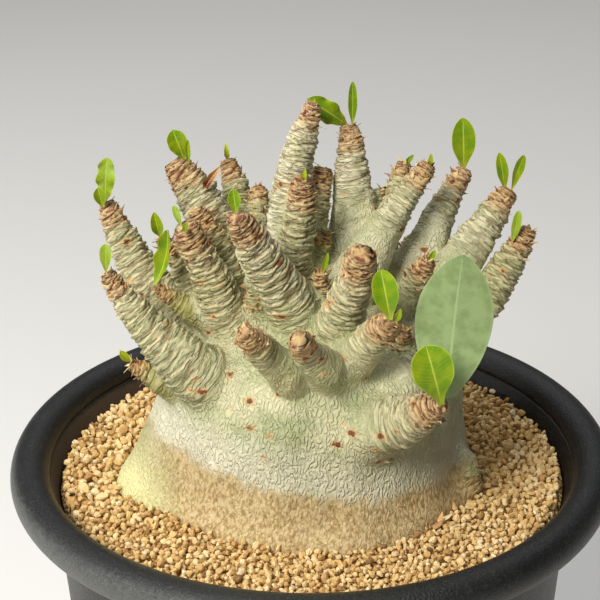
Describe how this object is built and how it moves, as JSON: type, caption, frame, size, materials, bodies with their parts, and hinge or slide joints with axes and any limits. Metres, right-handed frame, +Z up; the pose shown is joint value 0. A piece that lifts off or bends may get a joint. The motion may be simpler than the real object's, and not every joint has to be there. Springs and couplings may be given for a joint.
{
  "type": "potted desert rose",
  "caption": "Bonsai-style desert rose: a fat grey-green caudex with a crown of stubby ringed branches and young leaves, bedded in grit in a round black nursery pot.",
  "frame": {"origin": "middle of the pot's foot, on the surface it stands on", "axes": "+Z up through the plant, -Y towards the plant's front, +X to the right seen from the front"},
  "size_m": [0.18, 0.18, 0.245],
  "materials": {
    "pot_plastic": "black moulded plastic with a fine leathery grain and a satin sheen",
    "drain_mesh_plastic": "dark moulded mesh",
    "grit": "dry rounded orange-tan grains",
    "bark": "smooth grey-green living bark with fine wrinkles and cream leaf-scar rings",
    "leaf_lime": "fresh waxy lime-green leaf",
    "leaf_glaucous": "matte pale grey-green underside of a leaf"
  },
  "bodies": {
    "root": {"caudex": "bark", "drain_mesh": "drain_mesh_plastic", "grit_bed": "grit", "leaf_back_dark": "leaf_lime", "leaf_back_spike": "leaf_lime", "leaf_centre_hook": "leaf_lime", "leaf_centre_left": "leaf_lime", "leaf_centre_tiny": "leaf_lime", "leaf_far_right_pale": "leaf_lime", "leaf_front_big": "leaf_glaucous", "leaf_front_oval": "leaf_lime", "leaf_front_oval_young": "leaf_lime", "leaf_front_spatulate": "leaf_lime", "leaf_left_folded": "leaf_lime", "leaf_left_foot": "leaf_lime", "leaf_left_inner": "leaf_lime", "leaf_left_lower": "leaf_lime", "leaf_left_pale": "leaf_lime", "leaf_left_pale_nub": "leaf_lime", "leaf_left_upper": "leaf_lime", "leaf_left_upper_young": "leaf_lime", "leaf_rear_oval": "leaf_lime", "leaf_rear_right": "leaf_lime", "leaf_right_hook": "leaf_lime", "leaf_right_inner_tiny": "leaf_lime", "leaf_right_low_tiny": "leaf_lime", "leaf_right_oval": "leaf_lime", "leaf_right_pair_a": "leaf_lime", "leaf_right_pair_b": "leaf_lime", "leaf_top_upright": "leaf_lime", "leaf_top_wide": "leaf_lime", "leaf_upper_left_bract": "leaf_lime", "leaf_upper_left_broad": "leaf_lime", "leaf_upper_left_narrow": "leaf_lime", "pot": "pot_plastic"}
  },
  "joints": []
}
